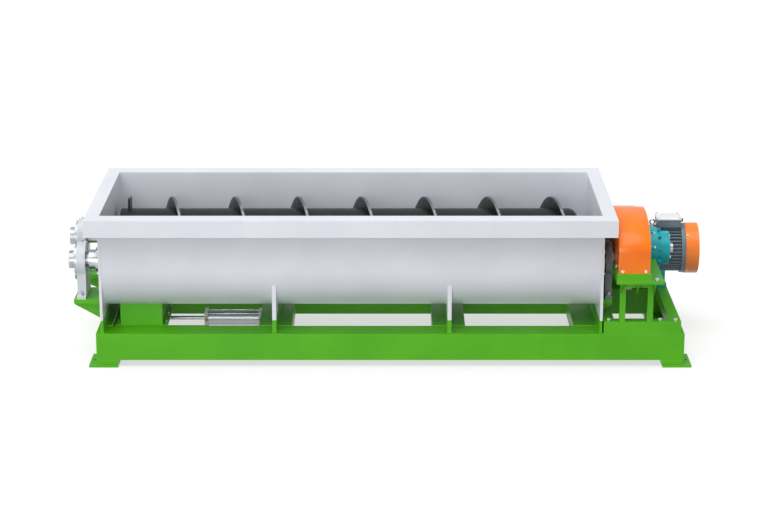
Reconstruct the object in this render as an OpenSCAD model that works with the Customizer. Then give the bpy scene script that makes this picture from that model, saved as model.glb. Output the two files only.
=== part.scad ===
// Twin-shaft horizontal trough mixer on a welded base frame.
// X runs from the bearing end to the drive end, Y from the front to the back, Z up.
// The origin is the centre of the four anchor bolts, on the floor.

/* [Trough] */
// Inside length of the trough
trough_len = 3000; // [2700:10:3300]
// Running gap between a screw and the trough wall
trough_gap = 15.5; // [8:0.5:25]
// Sheet thickness of the trough shell
shell_t = 6; // [4:0.5:10]
// Thickness of the two end plates
end_plate_t = 16; // [10:1:24]
// Height of the trough wall above the screw axes
wall_h = 348; // [320:2:400]
// Drop from the screw axes to the ridge between the screws
ridge_drop = 129; // [100:1:160]
// Height of the screw axes above the base frame
axis_h = 390; // [370:2:430]

/* [Rim] */
// Width of the rim along the front and back
rim_side_w = 118; // [80:1:150]
// Width of the rim across the ends
rim_end_w = 84; // [60:1:100]
// Height of the rim's outer skirt
rim_h = 103; // [70:1:130]
// Plate thickness of the rim
rim_t = 8; // [5:0.5:12]
// Width of the return lip under the skirt
rim_lip = 34; // [20:1:50]

/* [Screws] */
// Outer diameter of the screws
screw_d = 500; // [460:2:520]
// Outer diameter of the screw tubes
tube_d = 350; // [300:2:380]
// Wall of the screw tubes
tube_wall = 12; // [8:1:20]
// Lead of one turn of a flight
flight_pitch = 400; // [320:5:480]
// Thickness of a flight, along the shaft
flight_t = 16; // [10:1:24]
// Diameter of the through shafts
shaft_d = 90; // [70:1:100]
// Gap from the bearing end plate to the tube
tube_gap_left = 36; // [25:1:50]
// Gap from the drive end plate to the tube
tube_gap_right = 80; // [60:1:100]
// Radius of the tube's rounded drive end
tube_round = 60; // [30:1:80]
// Distance from the bearing end plate to the end paddles
paddle_x = 87; // [70:1:110]
// Width of an end paddle
paddle_w = 110; // [70:1:140]
// Distance from the bearing end plate to the start of a flight
flight_start = 175; // [150:1:220]
// Distance from the bearing end plate to the first crest of a flight
flight_crest = 371; // [300:1:440]

/* [Gears] */
// Module of the gears
gear_module = 9; // [8.5:0.1:9.5]
// Teeth on each screw gear
gear_teeth = 39; // [38:1:40]
// Teeth on the drive pinion
pinion_teeth = 20; // [20:2:22]
// Face width of the screw gears
gear_w = 60; // [45:1:70]
// Extra face width of the pinion, both sides together
pinion_extra = 10; // [4:1:16]
// Play between meshing teeth
backlash = 0.9; // [0.6:0.1:1.5]
// Hole diameter in the gear webs
web_hole_d = 52; // [30:1:56]

/* [Bearings and glands] */
// Outer diameter of the bearing rings
ring_d = 150; // [130:1:170]
// Outer diameter of the bearing housings
housing_d = 226; // [200:1:250]
// Width of the housings at the bearing end
housing_w = 53; // [45:1:60]
// Width of the housings at the drive end
drive_housing_w = 40; // [34:1:48]
// Gap from the bearing end plate to the front housing
housing_gap = 102; // [95:1:110]
// Extra distance of the rear housing from the end plate
rear_step = 65; // [40:1:90]
// Gap from the drive end plate to its housings
drive_housing_gap = 28; // [26:1:30]
// Diameter of the end caps
cap_d = 110; // [104:1:130]
// Length of the end caps
cap_len = 53; // [40:1:70]
// Height of the shaft above the bearing brackets
pillow_h = 217; // [190:1:240]
// Width of the bearing brackets
bracket_w = 260; // [230:2:290]
// Plate thickness of the bearing brackets
bracket_t = 25; // [16:1:30]
// Depth of the bracket gussets
gusset_h = 110; // [60:1:140]
// Diameter of the gland flanges
gland_d = 236; // [220:1:260]
// Thickness of the gland flanges
gland_t = 18; // [12:1:22]
// Diameter of the gland necks
neck_d = 150; // [130:1:170]
// Diameter of the gland followers
follower_d = 122; // [110:1:128]
// Running clearance round a shaft
run_gap = 0.05; // [0.02:0.01:0.1]

/* [Base frame] */
// Length of the frame past the trough's inside, bearing end
frame_left = 45; // [40:1:60]
// Length of the frame past the trough's inside, drive end
frame_right = 515; // [505:1:560]
// Distance of a long beam's outer side past the trough's inside
base_side = 9; // [6:1:30]
// Width of a long beam
beam_w = 160; // [120:1:170]
// Height of a long beam
beam_h = 166; // [140:1:200]
// Wall of the box sections
beam_wall = 8; // [5:0.5:12]
// Width of the three inner cross beams
cross_w = 200; // [160:2:220]
// Height of the inner cross beams
cross_h = 100; // [80:1:120]
// Width of the two end cross beams
end_cross_w = 80; // [60:1:84]
// Distance from the trough's inside to the first saddle
saddle_1 = 1034; // [980:1:1080]
// Distance from the trough's inside to the second saddle
saddle_2 = 2093; // [2000:1:2200]
// Thickness of a saddle plate
saddle_t = 24; // [12:1:30]
// Height of the risers under the trough
riser_h = 82; // [60:1:95]
// Distance from the drive end plate to the third cross beam
cross_3 = 60; // [50:1:90]

/* [Feet] */
// Length of a foot plate
foot_len = 176; // [150:1:200]
// Width of a foot plate
foot_w = 218; // [200:1:240]
// Thickness of a foot plate
foot_t = 15; // [10:1:25]
// Overhang of a foot plate past the beam end
foot_end = 46; // [40:1:60]
// Overhang of a foot plate past the beam's outer side
foot_side = 15; // [5:1:25]
// Height of the packing between foot plate and beam
packing_h = 28; // [15:1:40]
// Diameter of the anchor bolt holes
anchor_d = 22; // [18:1:26]

/* [Discharge] */
// Distance from the bearing end plate to the chute
chute_x = 87; // [80:1:100]
// Length of the chute along the trough
chute_len = 254; // [220:1:270]
// Gap between the chute and a long beam
chute_gap = 15; // [10:1:40]
// Sheet thickness of the chute
chute_t = 6; // [4:0.5:8]
// Width of the chute's bottom flange along the trough
chute_flange = 34; // [24:1:40]
// Thickness of the gate plate
gate_t = 14; // [10:1:18]
// Overlap of the closed gate past the chute opening
gate_lap = 20; // [12:1:24]
// Free play of the gate in its guides
gate_play = 0.4; // [0.3:0.1:1]
// Bore of the gate cylinder
cylinder_bore = 80; // [60:1:90]
// Diameter of the gate cylinder's rod
rod_d = 25; // [20:1:30]
// Distance of the gate's lug behind its leading edge
lug_back = 60; // [50:1:80]
// Drop from the gate plate to the cylinder's axis
cylinder_drop = 52; // [52:1:58]

/* [Drive stand] */
// Gap from the drive-end housings to the gear guard
guard_gap = 12; // [10:0.5:20]
// Length of the gear guard along the shafts
guard_len = 188; // [176:1:196]
// Width of the gear guard across the shafts
guard_w = 1226; // [1180:2:1240]
// Height of the gear guard above its base
guard_h = 259; // [240:1:280]
// Sheet thickness of the gear guard
guard_t = 5; // [3:0.5:8]
// Step of the guard base past the guard
guard_step = 8; // [4:1:8]
// Height of the guard base
guard_base_h = 45; // [30:1:60]
// Height of the guard's lower edge above the shaft axes
guard_rise = 12; // [4:1:20]
// Wall of the guard base
guard_base_t = 12; // [8:1:16]
// Thickness of the stand's top plate
stand_t = 18; // [12:1:24]
// Length of the stand's top plate along the shafts
stand_len = 283; // [276:1:300]
// Size of a stand post along the shafts
post_x = 34; // [26:1:38]
// Size of a stand post across the shafts
post_y = 40; // [30:1:50]
// Depth of the gussets at the stand's ends
stand_gusset = 84; // [60:1:100]
// Height of the sub-base rails
rail_h = 78; // [60:1:90]
// Width of the sub-base rails
rail_w = 65; // [50:1:70]
// Gap from the drive end plate to the sub-base
rail_gap = 9; // [5:1:15]
// Gap from the sub-base to the end of the frame
rail_end = 24; // [15:1:40]

/* [Gear reducer] */
// Radius of the reducer casing about each axis
case_r = 128; // [115:1:132]
// Length of the casing body
case_len = 54; // [48:1:60]
// Thickness of the casing cover
cover_t = 43; // [36:1:50]
// Step of the bolted joint flange past the casing
case_lip = 6; // [4:1:8]
// Diameter of the rear boss
boss_d = 206; // [180:1:212]
// Length of the rear boss
boss_len = 77; // [60:1:90]
// Diameter of the output shaft
output_d = 60; // [50:1:64]
// Length of the casing's foot past its window
case_foot = 64; // [50:1:76]
// Length of the output shaft past the boss
output_tail = 27; // [15:1:35]
// Distance of the motor axis behind the output axis
motor_y = 295; // [290:1:300]
// Distance of the motor axis below the output axis
motor_drop = 86; // [80:1:92]

/* [Motor] */
// Diameter over the motor's fins
motor_d = 294; // [280:1:300]
// Length of the finned frame
motor_len = 186; // [170:1:200]
// Depth of the cooling fins
fin_h = 22; // [15:1:28]
// Thickness of a cooling fin
fin_t = 4; // [3:0.5:6]
// Number of cooling fins
fin_count = 40; // [24:4:48]
// Thickness of the end shields
shield_t = 19; // [14:1:24]
// Diameter of the fan cover
fan_cover_d = 321; // [314:1:330]
// Length of the fan cover
fan_cover_len = 83; // [76:1:95]
// Diameter of the rotor shaft
rotor_d = 38; // [32:1:42]
// Height of the terminal box
box_h = 68; // [50:1:80]
// Width of the motor's cradle
cradle_w = 152; // [130:2:180]
// Width of the cradle's foot on each side
cradle_foot = 24; // [16:1:40]

/* [Hidden] */
$fn = 72;
green = [0.35, 0.69, 0.14];
grey = [0.85, 0.86, 0.89];
dark = [0.16, 0.16, 0.17];
steel = [0.6, 0.61, 0.63];
orange = [0.97, 0.52, 0.18];
teal = [0.1, 0.5, 0.5];
motor_grey = [0.3, 0.31, 0.33];

// The gears set how far each screw lies from the middle, and so all widths
axis_y = gear_module * (gear_teeth + pinion_teeth) / 2;
trough_r = screw_d / 2 + trough_gap;
trough_half = axis_y + trough_r;
base_w = 2 * (trough_half + base_side);
// Places along the shafts
base_len = frame_left + trough_len + frame_right;
left_x = -base_len / 2 + frame_left;
right_x = left_x + trough_len;
left_out = left_x - end_plate_t;
right_out = right_x + end_plate_t;
tube_x0 = left_x + tube_gap_left;
tube_x1 = right_x - tube_gap_right;
// Heights
beam_z = foot_t + packing_h;
deck_z = beam_z + beam_h;
axis_z = deck_z + axis_h;
rim_z = axis_z + wall_h;
plate_z = deck_z + riser_h;
ridge_z = axis_z - ridge_drop;
ridge_half = axis_y - sqrt(pow(trough_r, 2) - pow(ridge_drop, 2));
shaft_r = shaft_d / 2;
run_r = shaft_r + run_gap;
hole_gap = 5;
// Bearing end
near_housing_x1 = left_out - housing_gap;
far_housing_x1 = near_housing_x1 - rear_step;
pillow_z = axis_z - pillow_h;
shaft_in_cap = 19;
// Drive end
drive_housing_x0 = right_out + drive_housing_gap;
guard_x0 = drive_housing_x0 + drive_housing_w + guard_gap;
guard_x1 = guard_x0 + guard_len;
guard_z = axis_z + guard_rise;
stand_z = guard_z - guard_base_h;
stand_x0 = guard_x0 - guard_step - 1;
stand_x1 = stand_x0 + stand_len;
stand_half = guard_w / 2 + guard_step + 4;
gear_x0 = guard_x0 + 52;
gear_x1 = gear_x0 + gear_w;
rail_z = deck_z + rail_h;
rail_x0 = right_out + rail_gap;
rail_x1 = base_len / 2 - rail_end;
case_x0 = guard_x1 + guard_step + 1;
case_x1 = case_x0 + case_len;
cover_x1 = case_x1 + cover_t;
boss_x1 = cover_x1 + boss_len;
motor_z = axis_z - motor_drop;
motor_r = motor_d / 2;
motor_x0 = cover_x1 + shield_t;
motor_x1 = motor_x0 + motor_len;
fan_cover_x0 = motor_x1 + 7;
fan_cover_x1 = fan_cover_x0 + fan_cover_len;
fan_sheet = 3.5;
rotor_r = rotor_d / 2;

// A box given by its two corners on each axis
module block(x, y, z) {
    translate([x[0], y[0], z[0]])
        cube([x[1] - x[0], y[1] - y[0], z[1] - z[0]]);
}

// A round bar along X
module rod_x(r, x0, x1, y = 0, z = 0, sides = 72) {
    translate([x0, y, z])
        rotate([0, 90, 0])
            cylinder(r = r, h = x1 - x0, $fn = sides);
}

// A flat outline in the YZ plane, drawn out along X
module prism_x(x0, x1) {
    translate([x0, 0, 0])
        rotate([90, 0, 90])
            linear_extrude(x1 - x0)
                children();
}

module mirror_y() {
    children();
    mirror([0, 1, 0])
        children();
}

// A long beam is a box section with a plate closing each end
module front_beam() {
    y = [-base_w / 2, -base_w / 2 + beam_w];
    color(green)
        difference() {
            block([-base_len / 2, base_len / 2], y, [beam_z, deck_z]);
            block([-base_len / 2 + beam_wall, base_len / 2 - beam_wall], [y[0] + beam_wall, y[1] - beam_wall],
                [beam_z + beam_wall, deck_z - beam_wall]);
        }
}

module rear_beam() {
    mirror([0, 1, 0])
        front_beam();
}

// An inner cross beam reaches from one long beam to the other
module cross_beam(x) {
    half = base_w / 2 - beam_w;
    color(green)
        difference() {
            block([x - cross_w / 2, x + cross_w / 2], [-half, half], [deck_z - cross_h, deck_z]);
            block([x - cross_w / 2 + beam_wall, x + cross_w / 2 - beam_wall], [-half - 1, half + 1],
                [deck_z - cross_h - 1, deck_z - beam_wall]);
        }
}

module cross_beam_1() { cross_beam(left_x + saddle_1); }
module cross_beam_2() { cross_beam(left_x + saddle_2); }
module cross_beam_3() { cross_beam(right_out - cross_3); }

module end_cross_beams() {
    half = base_w / 2 - beam_w;
    color(green)
        for (side = [0, 1])
            mirror([side, 0, 0])
                difference() {
                    block([base_len / 2 - end_cross_w, base_len / 2], [-half, half], [beam_z, deck_z]);
                    block([base_len / 2 - end_cross_w - 1, base_len / 2 - beam_wall], [-half - 1, half + 1],
                        [beam_z + beam_wall, deck_z - beam_wall]);
                }
}

// The anchor holes lie in the part of each foot plate past the beam end
anchor_x = base_len / 2 + foot_end / 2;
anchor_y = base_w / 2 + foot_side - foot_w / 2;

module foot() {
    x1 = base_len / 2 + foot_end;
    y1 = base_w / 2 + foot_side;
    color(green)
        union() {
            difference() {
                block([x1 - foot_len, x1], [y1 - foot_w, y1], [0, foot_t]);
                translate([anchor_x, anchor_y, -1])
                    cylinder(d = anchor_d, h = foot_t + 2);
            }
            block([x1 - foot_len, base_len / 2 - beam_wall], [base_w / 2 - beam_w, base_w / 2],
                [foot_t, beam_z]);
        }
}

module foot_rear_right() { foot(); }
module foot_rear_left() { mirror([1, 0, 0]) foot(); }
module foot_front_right() { mirror([0, 1, 0]) foot(); }
module foot_front_left() { mirror([1, 0, 0]) mirror([0, 1, 0]) foot(); }

// Inside outline of the trough: two round troughs with a flat ridge between them
module trough_2d(grow, top) {
    for (side = [-1, 1])
        translate([side * axis_y, axis_z])
            circle(r = trough_r + grow, $fn = 96);
    translate([-trough_half - grow, axis_z])
        square([2 * (trough_half + grow), top - axis_z]);
    translate([-ridge_half, ridge_z - grow])
        square([2 * ridge_half, ridge_drop + grow]);
}

// Opening in the trough floor over the chute
chute_x0 = left_x + chute_x;
chute_x1 = chute_x0 + chute_len;
chute_w = base_w - 2 * (beam_w + chute_gap);

module chute_inside(z0, z1) {
    block([chute_x0 + chute_t, chute_x1 - chute_t], [-chute_w / 2 + chute_t, chute_w / 2 - chute_t],
        [z0, z1]);
}

module trough_shell() {
    color(grey)
        difference() {
            prism_x(left_x, right_x)
                trough_2d(shell_t, rim_z - rim_t);
            prism_x(left_x - 1, right_x + 1)
                trough_2d(0, rim_z + 1);
            chute_inside(deck_z, axis_z);
        }
}

module end_plate(x) {
    color(grey)
        difference() {
            block([x, x + end_plate_t], [-trough_half - shell_t, trough_half + shell_t],
                [plate_z, rim_z - rim_t]);
            for (side = [-1, 1])
                rod_x(shaft_r + hole_gap, x - 1, x + end_plate_t + 1, side * axis_y, axis_z);
        }
}

module end_plate_left() { end_plate(left_out); }
module end_plate_right() { end_plate(right_x); }

module saddle(x) {
    color(grey)
        difference() {
            block([x - saddle_t / 2, x + saddle_t / 2], [-trough_half + 9, trough_half - 9],
                [plate_z, axis_z]);
            prism_x(x - saddle_t, x + saddle_t)
                trough_2d(shell_t, rim_z);
        }
}

module saddle_1_plate() { saddle(left_x + saddle_1); }
module saddle_2_plate() { saddle(left_x + saddle_2); }

// Upright plates that carry the end plates and the saddles, in line with them
module trough_risers() {
    half = trough_half - 9;
    color(green) {
        for (x = [left_out, right_x])
            block([x, x + end_plate_t], [-half, half], [deck_z, plate_z]);
        for (x = [saddle_1, saddle_2])
            block([left_x + x - saddle_t / 2, left_x + x + saddle_t / 2], [-half, half],
                [deck_z, plate_z]);
    }
}

module rim_frame() {
    outer_x = [left_x - rim_end_w, right_x + rim_end_w];
    outer_y = [-trough_half - rim_side_w, trough_half + rim_side_w];
    color(grey)
        difference() {
            block(outer_x, outer_y, [rim_z - rim_h, rim_z]);
            block([left_x, right_x], [-trough_half, trough_half], [rim_z - rim_h - 1, rim_z + 1]);
            block([outer_x[0] + rim_t, outer_x[1] - rim_t], [outer_y[0] + rim_t, outer_y[1] - rim_t],
                [rim_z - rim_h + rim_t, rim_z - rim_t]);
            block([outer_x[0] + rim_lip, outer_x[1] - rim_lip], [outer_y[0] + rim_lip, outer_y[1] - rim_lip],
                [rim_z - rim_h - 1, rim_z - rim_t]);
        }
}

// The chute hangs between the long beams and ends in a flange just under their tops
flange_t = 8;
chute_z = deck_z - 4;

module discharge_chute() {
    color(green)
        difference() {
            union() {
                block([chute_x0, chute_x1], [-chute_w / 2, chute_w / 2], [chute_z, axis_z]);
                block([chute_x0 - chute_flange, chute_x1 + chute_flange], [-chute_w / 2 - 5, chute_w / 2 + 5],
                    [chute_z, chute_z + flange_t]);
            }
            chute_inside(chute_z - 1, axis_z + 1);
            prism_x(chute_x0 - 1, chute_x1 + 1)
                trough_2d(shell_t, rim_z);
        }
}

// The gate slides towards the drive end until the chute is fully open
gate_z0 = chute_z - gate_play - gate_t;
gate_x0 = chute_x0 + chute_t - gate_lap;
gate_x1 = chute_x1 - chute_t + gate_lap;
gate_travel = gate_x1 - gate_x0 - gate_lap;
guide_lip = 24;
guide_strip = 16;

module gate_guides() {
    slot_z = gate_z0 - gate_play;
    color(green)
        mirror_y()
            difference() {
                block([chute_x0 - chute_flange, gate_x1 + gate_travel + 10],
                    [chute_w / 2 + 5 - guide_strip - guide_lip, chute_w / 2 + 5], [slot_z - 10, chute_z]);
                block([chute_x0 - chute_flange - 1, gate_x1 + gate_travel + 11],
                    [chute_w / 2 - guide_strip - guide_lip, chute_w / 2 + 5 - guide_strip],
                    [slot_z, chute_z + 1]);
            }
}

cylinder_x1 = left_x + saddle_1 - cross_w / 2;
lug_x1 = gate_x1 - lug_back;
cylinder_x0 = lug_x1 + gate_travel + 15;
cylinder_z = gate_z0 - cylinder_drop;
lug_t = 20;

module discharge_gate() {
    half = chute_w / 2 + 5 - guide_strip - gate_play;
    color(steel)
        difference() {
            union() {
                block([gate_x0, gate_x1], [-half, half], [gate_z0, gate_z0 + gate_t]);
                block([lug_x1 - lug_t, lug_x1], [-35, 35], [cylinder_z - 30, gate_z0]);
            }
            rod_x(rod_d / 2, lug_x1 - lug_t - 1, lug_x1 + 1, 0, cylinder_z);
        }
}

// The rod carries a piston inside the cylinder
piston_l = 24;
head_l = 22;

module gate_rod() {
    piston_x = cylinder_x0 + head_l + 2;
    color(steel)
        union() {
            rod_x(rod_d / 2, lug_x1 - lug_t - 12, piston_x, 0, cylinder_z);
            rod_x(cylinder_bore / 2 - run_gap, piston_x, piston_x + piston_l, 0, cylinder_z);
        }
}

module gate_cylinder() {
    body_r = cylinder_bore / 2 + 6;
    color(steel)
        difference() {
            union() {
                rod_x(body_r, cylinder_x0, cylinder_x1, 0, cylinder_z);
                for (x = [cylinder_x0, cylinder_x1 - head_l])
                    block([x, x + head_l], [-body_r - 4, body_r + 4],
                        [cylinder_z - body_r - 4, cylinder_z + body_r + 4]);
            }
            rod_x(rod_d / 2 + run_gap, cylinder_x0 - 1, cylinder_x0 + head_l + 1, 0, cylinder_z);
            rod_x(cylinder_bore / 2, cylinder_x0 + head_l, cylinder_x1 - head_l, 0, cylinder_z);
        }
}

module shaft(housing_x1) {
    rod_x(shaft_r, housing_x1 - housing_w - shaft_in_cap, gear_x1 + 12, axis_y, axis_z);
}

// A hollow tube with two end discs and a rounded drive end
module screw_tube() {
    end_x = tube_x1 - tube_round;
    inner_r = tube_d / 2 - tube_wall;
    arc = [for (a = [0:15:90]) [tube_d / 2 - tube_round + tube_round * cos(a), tube_round * sin(a)]];
    translate([0, axis_y, axis_z])
        rotate([0, 90, 0])
            rotate_extrude()
                polygon(concat([[shaft_r, tube_x0], [tube_d / 2, tube_x0]],
                    [for (p = arc) [p[0], end_x + p[1]]],
                    [[shaft_r, tube_x1], [shaft_r, tube_x1 - tube_wall],
                        [tube_d / 2 - tube_round, tube_x1 - tube_wall], [inner_r, end_x],
                        [inner_r, tube_x0 + tube_wall], [shaft_r, tube_x0 + tube_wall]]));
}

// A flight is a ribbon swept along a right-hand helix
flight_steps = 32;
flight_x0 = left_x + flight_start;
flight_x1 = tube_x1 - 25;
crest_x = left_x + flight_crest;

function ring_of(x) =
    let (a = 90 + 360 * (x - crest_x) / flight_pitch, r0 = tube_d / 2 / cos(180 / flight_steps) + run_gap)
    [for (c = [[-1, r0], [-1, screw_d / 2], [1, screw_d / 2], [1, r0]])
        [x + c[0] * flight_t / 2, axis_y + c[1] * cos(a), axis_z + c[1] * sin(a)]];

module screw_flight() {
    n = ceil((flight_x1 - flight_x0) / flight_pitch * flight_steps);
    step = (flight_x1 - flight_x0) / n;
    points = [for (i = [0:n]) each ring_of(flight_x0 + i * step)];
    sides = [for (i = [0:n - 1], k = [0:3])
        let (a = 4 * i + k, b = 4 * i + (k + 1) % 4)
        each [[a, a + 4, b + 4], [a, b + 4, b]]];
    polyhedron(points, concat([[0, 1, 2, 3]], sides, [[4 * n + 3, 4 * n + 2, 4 * n + 1, 4 * n]]));
}

// Two flat blades sweep the bearing end clear
module screw_paddles() {
    x = left_x + paddle_x;
    difference() {
        intersection() {
            translate([0, axis_y, axis_z])
                rotate([-14, 0, 0])
                    block([x - flight_t / 2, x + flight_t / 2], [-paddle_w / 2, paddle_w / 2],
                        [-screw_d, screw_d]);
            rod_x(screw_d / 2, x - flight_t, x + flight_t, axis_y, axis_z);
        }
        rod_x(tube_d / 2, x - flight_t, x + flight_t, axis_y, axis_z);
    }
}

module far_shaft() { color(steel) shaft(far_housing_x1); }
module near_shaft() { color(steel) mirror([0, 1, 0]) shaft(near_housing_x1); }
module far_tube() { color(dark) screw_tube(); }
module near_tube() { color(dark) mirror([0, 1, 0]) screw_tube(); }
module far_flight() { color(dark) screw_flight(); }
module near_flight() { color(dark) mirror([0, 1, 0]) screw_flight(); }
module far_paddles() { color(dark) screw_paddles(); }
module near_paddles() { color(dark) mirror([0, 1, 0]) screw_paddles(); }

// A gland is a flange on the end plate, a neck and a follower ring
neck_l = 26;
follower_l = 40;
module glands(side) {
    color(steel)
        difference() {
            union() {
                rod_x(gland_d / 2, left_out - gland_t, left_out, side * axis_y, axis_z);
                rod_x(neck_d / 2, left_out - gland_t - neck_l, left_out - gland_t, side * axis_y, axis_z);
                rod_x(follower_d / 2, left_out - gland_t - neck_l - follower_l, left_out - gland_t,
                    side * axis_y, axis_z);
                rod_x(gland_d / 2, right_out, right_out + gland_t, side * axis_y, axis_z);
                rod_x(neck_d / 2, right_out, drive_housing_x0 - 4, side * axis_y, axis_z);
            }
            rod_x(run_r, left_out - housing_gap, left_out + 1, side * axis_y, axis_z);
            rod_x(run_r, right_out - 1, drive_housing_x0, side * axis_y, axis_z);
        }
}

module near_glands() { glands(-1); }
module far_glands() { glands(1); }

nut_ring = (gland_d + neck_d) / 4;
nut_r = 13;
nut_h = 9;
module gland_nuts() {
    color(steel)
        for (side = [-1, 1], turn = [45:90:315])
            translate([0, side * axis_y + nut_ring * cos(turn), axis_z + nut_ring * sin(turn)]) {
                rod_x(nut_r, left_out - gland_t - nut_h, left_out - gland_t, sides = 6);
                rod_x(nut_r, right_out + gland_t, right_out + gland_t + nut_h, sides = 6);
            }
}

// A pillow block: round body, pedestal and a foot that is bolted to its bracket
pillow_foot = 22;
module housing(x0, x1, y) {
    foot_half = bracket_w / 2 - 6;
    color(steel)
        difference() {
            union() {
                rod_x(housing_d / 2, x0, x1, y, axis_z);
                block([x0, x1], [y - housing_d / 2 + 18, y + housing_d / 2 - 18], [pillow_z, axis_z]);
                block([x0, x1], [y - foot_half, y + foot_half], [pillow_z, pillow_z + pillow_foot]);
            }
            rod_x(ring_d / 2, x0 - 1, x1 + 1, y, axis_z);
        }
}

module near_housing_left() { housing(near_housing_x1 - housing_w, near_housing_x1, -axis_y); }
module far_housing_left() { housing(far_housing_x1 - housing_w, far_housing_x1, axis_y); }
module near_housing_right() { housing(drive_housing_x0, drive_housing_x0 + drive_housing_w, -axis_y); }
module far_housing_right() { housing(drive_housing_x0, drive_housing_x0 + drive_housing_w, axis_y); }

module ring(x0, x1, y) {
    difference() {
        rod_x(ring_d / 2, x0, x1, y, axis_z);
        rod_x(run_r, x0 - 1, x1 + 1, y, axis_z);
    }
}

module bearing_rings() {
    color(steel) {
        ring(near_housing_x1 - housing_w, near_housing_x1 - 3, -axis_y);
        ring(far_housing_x1 - housing_w, far_housing_x1 - 3, axis_y);
        for (side = [-1, 1])
            ring(drive_housing_x0, drive_housing_x0 + drive_housing_w - 3, side * axis_y);
    }
}

// Each cap closes the outer face of a housing round the shaft's end
module bearing_cap(x, y) {
    difference() {
        union() {
            rod_x(housing_d / 2 - 14, x - 12, x, y, axis_z);
            rod_x(cap_d / 2, x - cap_len, x, y, axis_z);
        }
        rod_x(shaft_r + 2, x - shaft_in_cap - 6, x + 1, y, axis_z);
    }
}

module bearing_caps() {
    color(steel) {
        bearing_cap(near_housing_x1 - housing_w, -axis_y);
        bearing_cap(far_housing_x1 - housing_w, axis_y);
    }
}

// A shelf with two gussets, welded to the end plate and its riser
module bracket(x_wall, x_end, y, depth) {
    gusset_t = 12;
    block([min(x_wall, x_end), max(x_wall, x_end)], [y - bracket_w / 2, y + bracket_w / 2],
        [pillow_z - bracket_t, pillow_z]);
    for (side = [-1, 1])
        translate([0, y + side * (bracket_w / 2 - 30) + gusset_t / 2, 0])
            rotate([90, 0, 0])
                linear_extrude(gusset_t)
                    polygon([[x_wall, pillow_z - bracket_t], [x_end, pillow_z - bracket_t],
                        [x_end, pillow_z - bracket_t - 12], [x_wall, pillow_z - bracket_t - depth]]);
}

module bearing_brackets() {
    drive_end = drive_housing_x0 + drive_housing_w;
    drive_depth = min(gusset_h, pillow_z - bracket_t - rail_z - 8);
    color(green) {
        bracket(left_out, near_housing_x1 - housing_w - 19, -axis_y, gusset_h);
        bracket(left_out, far_housing_x1 - housing_w - 19, axis_y, gusset_h);
        for (side = [-1, 1])
            bracket(right_out, drive_end, side * axis_y, drive_depth);
    }
}

bolt_r = 14;
bolt_h = 12;
module hex_bolt(x, y, z) {
    translate([x, y, z])
        cylinder(r = bolt_r, h = bolt_h, $fn = 6);
}

module bearing_bolts() {
    reach = bracket_w / 2 - 22;
    cap_ring = housing_d / 2 - 30;
    color(steel) {
        for (side = [-1, 1]) {
            hex_bolt(near_housing_x1 - housing_w / 2, -axis_y + side * reach, pillow_z + pillow_foot);
            hex_bolt(far_housing_x1 - housing_w / 2, axis_y + side * reach, pillow_z + pillow_foot);
            for (y = [-axis_y, axis_y])
                hex_bolt(drive_housing_x0 + drive_housing_w / 2, y + side * reach, pillow_z + pillow_foot);
        }
        for (turn = [45:90:315]) {
            rod_x(11, near_housing_x1 - housing_w - 22, near_housing_x1 - housing_w - 12,
                -axis_y + cap_ring * cos(turn), axis_z + cap_ring * sin(turn), 6);
            rod_x(11, far_housing_x1 - housing_w - 22, far_housing_x1 - housing_w - 12,
                axis_y + cap_ring * cos(turn), axis_z + cap_ring * sin(turn), 6);
        }
    }
}

// Involute spur gears: the flank's angle from the tooth's middle at radius r
function involute(a) = tan(a) * 180 / PI - a;
function flank(r, teeth) =
    let (pitch_r = gear_module * teeth / 2, base_r = pitch_r * cos(20))
    90 / teeth - backlash / 4 / pitch_r * 180 / PI + involute(20)
        - involute(acos(min(1, base_r / r)));

module spur_2d(teeth, first) {
    pitch_r = gear_module * teeth / 2;
    tip_r = pitch_r + gear_module;
    root_r = pitch_r - 1.25 * gear_module;
    start_r = max(root_r, pitch_r * cos(20));
    radii = [for (k = [0:4]) start_r + (tip_r - start_r) * k / 4];
    tooth = concat([[root_r, -flank(start_r, teeth)]], [for (r = radii) [r, -flank(r, teeth)]],
        [for (k = [4:-1:0]) [radii[k], flank(radii[k], teeth)]], [[root_r, flank(start_r, teeth)]]);
    polygon([for (k = [0:teeth - 1], p = tooth)
        p[0] * [cos(first + p[1] + 360 * k / teeth), sin(first + p[1] + 360 * k / teeth)]]);
}

// The far gear faces the pinion with a tooth space, and the near gear is its mirror image
module screw_gear() {
    web_ring = (gear_module * gear_teeth / 2 - 1.25 * gear_module + shaft_r + 28) / 2;
    difference() {
        union() {
            prism_x(gear_x0, gear_x1)
                translate([axis_y, axis_z])
                    difference() {
                        spur_2d(gear_teeth, 180 + 180 / gear_teeth);
                        for (turn = [0:60:300])
                            rotate(turn)
                                translate([web_ring, 0])
                                    circle(d = web_hole_d);
                    }
            rod_x(shaft_r + 26, gear_x0 - 10, gear_x1 + 8, axis_y, axis_z);
        }
        rod_x(shaft_r, gear_x0 - 11, gear_x1 + 9, axis_y, axis_z);
    }
}

module far_gear() { color(steel) screw_gear(); }
module near_gear() { color(steel) mirror([0, 1, 0]) screw_gear(); }

module drive_pinion() {
    color(steel)
        prism_x(gear_x0 - pinion_extra / 2, gear_x1 + pinion_extra / 2)
            translate([0, axis_z])
                difference() {
                    spur_2d(pinion_teeth, 0);
                    circle(d = output_d);
                }
}

module output_shaft() {
    color(steel)
        rod_x(output_d / 2, gear_x0 - pinion_extra / 2 - 6, boss_x1 + output_tail, 0, axis_z);
}

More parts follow.
